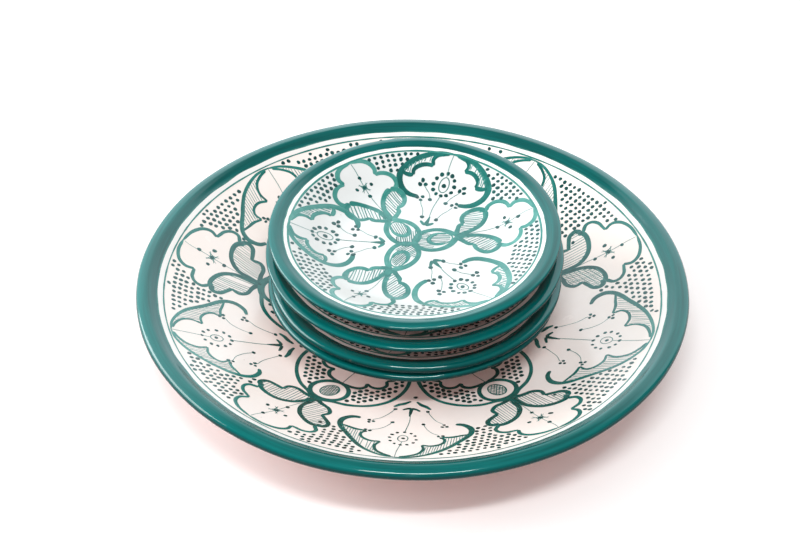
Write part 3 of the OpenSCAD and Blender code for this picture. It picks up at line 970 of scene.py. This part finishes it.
def paint_platter(P):
    """The platter: five large and five small blossoms outside, five ringed petals and a centre under the stack."""
    d = Deco(P)
    rnd = d.rnd
    #        angle at the stem, lean, long, wide, weight, tone
    large = [(269.9, 8.7, 0.93, 0.88, 1.34, 0.70), (345.4, 12.5, 0.96, 0.99, 1.20, 0.66), (60, 7, 0.92, 0.95, 1.20, 0.62),
             (134, 10, 0.92, 0.95, 1.20, 0.60), (201.4, 8.8, 0.92, 0.84, 1.12, 0.54)]
    for a, lean, long, wide, w, t in large:
        large_blossom(d, BIG_LARGE, a, lean, w, t, 1.85, True, long, wide)
    for a, lean in ((235.5, 10), (306.3, 9), (20.3, 6), (93.7, 7), (167.2, 7)):
        small_blossom(d, BIG_SMALL, a, lean, rnd.uniform(1.22, 1.36), 0.72, 1.8, True)
        F = motif_frame(a)
        # the medallion that the two leaves spring from
        d.stroke([F((.066 * R * math.sin(t), .507 * R - .066 * R * math.cos(t))) for t in np.linspace(0, 2 * math.pi, 19)[:-1]],
                 2.9, (0.78, 0.66), closed=True)
        seed = [(.030 * R * math.sin(t), .505 * R - .039 * R * math.cos(t)) for t in np.linspace(0, 2 * math.pi, 17)[:-1]]
        d.stroke([F(p) for p in seed], 0.8, (0.7, 0.6), closed=True, wall=False)
        turn = rnd.uniform(-30, 30)
        d.hatch(F, seed, turn, 1.4, inset=0.3, w=0.62, tone=0.85)
        if rnd.random() < 0.75:
            d.hatch(F, seed, turn + 70, 1.8, inset=0.3, w=0.55, tone=0.8)
        # the ringed petal, pointed where it meets the leaves
        c, q = .368 * R, .2015 * R
        ang = np.radians([14, 30, 50, 70, 90, 110, 130, 150, 168])
        for side in (1, -1):
            arc = [(side * 0.6, .586 * R), (side * .032 * R, .574 * R)] + [(side * q * math.sin(t), c + q * math.cos(t)) for t in ang[0:]]
            d.stroke([F(p) for p in arc], [3.0, 2.8, 2.5, 2.5, 2.6, 2.5], (0.66, 0.44), ends=(0, 5))
        # the blossom that opens inwards
        halfs = []
        for side in (1, -1):
            t0 = 0.85
            for sc in ([(.010, .437), (.040, .436), (.066, .425), (.078, .402), (.070, .384)],
                       [(.070, .384), (.098, .390), (.124, .376), (.132, .350), (.118, .330)],
                       [(.118, .330), (.138, .306), (.130, .270), (.096, .243), (.050, .229), (-.004, .226)]):
                sc = [(x * R, y * R) for x, y in sc]
                d.stroke([F((side * x, y)) for x, y in sc], [1.8, 2.6, 2.7, 2.1], (t0, t0 - 0.12))
            halfs.append([F((side * x * R, y * R)) for x, y in ((.0, .44), (.066, .425), (.078, .402), (.124, .376), (.134, .30),
                                                                (.12, .25), (.05, .225), (0, .222))])
        blossom = d.warp(halfs[0] + halfs[1][::-1])
        d.hair([F((0, .437 * R)), F((0.6, .38 * R)), F((0, .345 * R))], 0.5, 0.5)
        u = .312 * R
        d.dot(*F((0, u)), 1.35)
        for v, z in ((0, 6.2), (0, -6.2), (6.2, 0), (-6.2, 0)):
            d.dot(*F((v, u + z)), 1.2)
        for side in (1, -1):
            d.hair([F((side * 2.4, u - 3.4)), F((side * 1.3, u)), F((side * 2.6, u + 3.2))], 0.6, 0.6, ends=(2, 2))
        # the dotted ground inside the petal
        cand = []
        pitch = 4.1
        rows = int(2 * q / (pitch * 0.86))
        for k in range(rows):
            uu = c - q + 2.0 + k * pitch * 0.86
            m = int(q / pitch) + 1
            for j in range(-m, m + 1):
                vv = (j + 0.5 * (k % 2)) * pitch
                if math.hypot(vv, uu - c) < q - 2.9:
                    cand.append(F((vv + rnd.uniform(-.25, .25), uu + rnd.uniform(-.25, .25))))
        cand = np.array(cand)
        ok = (near(d.walls, cand) > 2.4) & ~inside(blossom, cand)
        mid = np.array(F((0, .507 * R)))
        ok &= np.hypot(*(cand - mid).T) > .066 * R + 2.2
        for x, y in cand[ok]:
            d.dot(x, y, 1.48 * rnd.uniform(0.88, 1.12), warp=False)
    # the middle
    d.stroke([(10.5 * math.cos(t), 10.5 * math.sin(t)) for t in np.linspace(0, 2 * math.pi, 15)[:-1]], 2.1, (0.8, 0.65), closed=True)
    eye = [(6.2 * math.cos(t), 6.2 * math.sin(t)) for t in np.linspace(0, 2 * math.pi, 15)[:-1]]
    I = lambda p: (p[0], p[1])
    d.stroke(eye, 0.8, (0.6, 0.5), closed=True, wall=False)
    d.hatch(I, eye, 20, 1.2, inset=0.3, w=0.42, tone=0.7)
    for k in range(15):
        t = 2 * math.pi * k / 15
        d.dot(14.2 * math.cos(t), 14.2 * math.sin(t), 1.2)
    for k in range(5):
        F = motif_frame(18 + 36 + 72 * k)
        leaf = [(0, 17.0), (3.4, 21.5), (4.2, 27.0), (2.4, 32.5), (0, 37.5)]
        for side in (1, -1):
            d.stroke([F((side * x, y)) for x, y in leaf], [1.6, 2.1, 2.0, 1.6], (0.8, 0.6))
        d.hatch(F, leaf + flip(leaf, -1)[::-1], 0, 1.2, inset=0.9, w=0.38, tone=0.5)
        d.dot(*F((0, 43.0)), 1.3)
        d.dot(*F((0, 49.0)), 1.2)
    line = P["line"]
    d.stroke([(line * math.cos(t), line * math.sin(t)) for t in np.linspace(0, 2 * math.pi, 91)[:-1]],
             0.95, (0.42, 0.42), closed=True, warp=False, step=1.5, rough=0.25)
    dot_rows(d, line - 2.3, .69 * R, 4.3, 1.30, 2.5)
    return d.finish()


for P in PLATES:
    P["line"] = 157.8 if P["big"] else P["r"] - P["rim"] - 2.9
    lathe(P)
    (paint_platter if P["big"] else paint_small)(P)

# ---------------------------------------------------------------- floor, light and camera

floor_mesh = bpy.data.meshes.new("floor")
ring = [(3.2 * math.cos(t), 3.2 * math.sin(t), 0.0) for t in np.linspace(0, 2 * math.pi, 97)[:-1]]
floor_mesh.from_pydata(ring, [], [tuple(range(96))])
floor = bpy.data.objects.new("floor", floor_mesh)
bpy.context.scene.collection.objects.link(floor)
fm = Nodes("pale_floor")
floor_mesh.materials.append(fm.shader(Base_Color=(0.90, 0.90, 0.90, 1.0), Roughness=0.75, Specular_IOR_Level=0.2,
                                     Emission_Color=(1.0, 1.0, 1.0, 1.0), Emission_Strength=0.08))


def area(name, at, aim, size, size_y, power, colour=(1, 1, 1)):
    lamp = bpy.data.lights.new(name, "AREA")
    lamp.shape = "RECTANGLE"
    lamp.size, lamp.size_y, lamp.energy, lamp.color = size, size_y, power, colour
    ob = bpy.data.objects.new(name, lamp)
    ob.location = at
    ob.rotation_mode = "QUATERNION"
    ob.rotation_quaternion = (Vector(aim) - Vector(at)).to_track_quat("-Z", "Y")
    bpy.context.scene.collection.objects.link(ob)
    return ob


area("left_softbox", (-1.93, 0.42, 0.98), (0, 0, 0.02), 1.8, 1.2, 56)
area("top_softbox", (0.05, -0.78, 1.62), (0, 0, 0.03), 0.8, 0.16, 16)

# A white studio. Gloss sees a dimmer room with two tall bluish windows behind, left and right.
world = bpy.data.worlds.new("studio")
bpy.context.scene.world = world
world.use_nodes = True
wt = world.node_tree
wt.nodes.clear()


def wnode(kind, *links, **props):
    n = wt.nodes.new(kind)
    for k, v in props.items():
        setattr(n, k, v)
    for i, v in enumerate(links):
        if isinstance(v, bpy.types.NodeSocket):
            wt.links.new(v, n.inputs[i])
        elif v is not None:
            n.inputs[i].default_value = v
    return n


def wspan(v, a, b):
    return wnode("ShaderNodeMapRange", v, a, b, 0.0, 1.0, interpolation_type="SMOOTHSTEP").outputs[0]


def wmath(op, a, b):
    return wnode("ShaderNodeMath", a, b, operation=op).outputs[0]


way = wnode("ShaderNodeSeparateXYZ", wnode("ShaderNodeTexCoord").outputs["Generated"]).outputs
across = wmath("DIVIDE", wmath("ABSOLUTE", way[0], 0.0), wmath("MAXIMUM", way[1], 0.02))
window = wmath("MULTIPLY", wmath("MULTIPLY", wspan(across, 0.10, 0.26), wspan(across, 1.3, 0.8)),
               wmath("MULTIPLY", wspan(way[2], 0.04, 0.18), wspan(way[2], 0.80, 0.62)))
room = wnode("ShaderNodeBackground", (0.19, 0.205, 0.21, 1.0), 1.0)
glow = wnode("ShaderNodeBackground", (1.75, 2.35, 2.50, 1.0), 1.0)
wall = wmath("MULTIPLY", wmath("MULTIPLY", wspan(across, 2.6, 1.4), wspan(way[1], 0.0, 0.2)),
             wmath("MULTIPLY", wspan(way[2], -0.02, 0.05), wspan(way[2], 0.88, 0.72)))
paper = wnode("ShaderNodeBackground", (1.45, 1.78, 1.88, 1.0), 1.0)
gloss = wnode("ShaderNodeMixShader", window, room.outputs[0], glow.outputs[0])
gloss = wnode("ShaderNodeMixShader", wall, gloss.outputs[0], paper.outputs[0])
dome = wnode("ShaderNodeBackground", (1.0, 1.0, 1.0, 1.0), wmath("ADD", wmath("MULTIPLY", wmath("MAXIMUM", way[2], 0.0), 0.71), 0.24))
white = wnode("ShaderNodeBackground", (1.0, 1.0, 1.0, 1.0), 1.0)
path = wnode("ShaderNodeLightPath").outputs
lit = wnode("ShaderNodeMixShader", path["Is Glossy Ray"], dome.outputs[0], gloss.outputs[0])
seen = wnode("ShaderNodeMixShader", path["Is Camera Ray"], lit.outputs[0], white.outputs[0])
wnode("ShaderNodeOutputWorld", seen.outputs[0])

sc = bpy.context.scene
sc.view_settings.view_transform = "Standard"
sc.view_settings.look = "None"
sc.view_settings.exposure = 0.0
sc.view_settings.gamma = 1.0

cam_data = bpy.data.cameras.new("camera")
cam_data.sensor_width = 36.0
cam_data.lens = 81.0
cam_data.clip_start, cam_data.clip_end = 0.05, 30.0
cam = bpy.data.objects.new("camera", cam_data)
sc.collection.objects.link(cam)
elev, roll, dist = math.radians(39.57), 0.00910636545, 1.15357
target = Vector((-0.00806, 0.01026, 0.0495))
back = Vector((0, -math.cos(elev), math.sin(elev)))
up = back.cross(Vector((1, 0, 0)))
cx = math.cos(roll) * Vector((1, 0, 0)) + math.sin(roll) * up
cy = -math.sin(roll) * Vector((1, 0, 0)) + math.cos(roll) * up
m = Matrix((cx, cy, back)).transposed().to_4x4()
m.translation = target + back * dist
cam.matrix_world = m
sc.camera = cam
